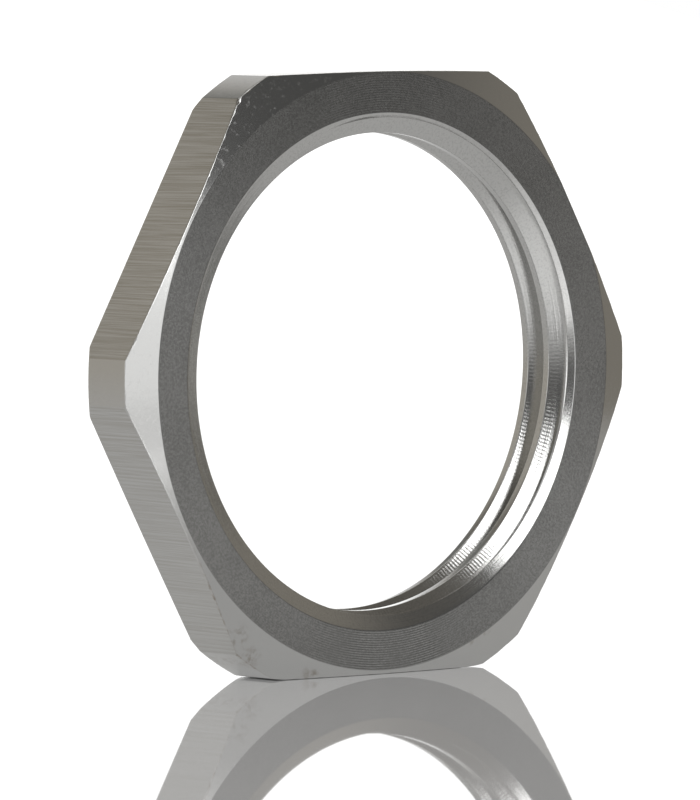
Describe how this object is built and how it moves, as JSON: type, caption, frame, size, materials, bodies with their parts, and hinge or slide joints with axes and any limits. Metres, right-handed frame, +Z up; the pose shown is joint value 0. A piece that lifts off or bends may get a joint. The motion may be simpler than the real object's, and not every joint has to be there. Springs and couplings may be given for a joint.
{
  "type": "cable gland locknut",
  "caption": "Thin hexagonal locknut with a fine metric thread, turned corners and a shallow chamfer round its front face.",
  "frame": {"origin": "on the thread's axis, half way through the nut's thickness", "axes": "+Z up, with the nut standing on one of its flats; Y along the thread, with the front face towards -Y; X across two opposite corners"},
  "size_m": [0.0322, 0.0036, 0.029],
  "materials": {
    "nickel_plated_brass": "satin"
  },
  "bodies": {
    "root": {"locknut": "nickel_plated_brass"}
  },
  "joints": []
}
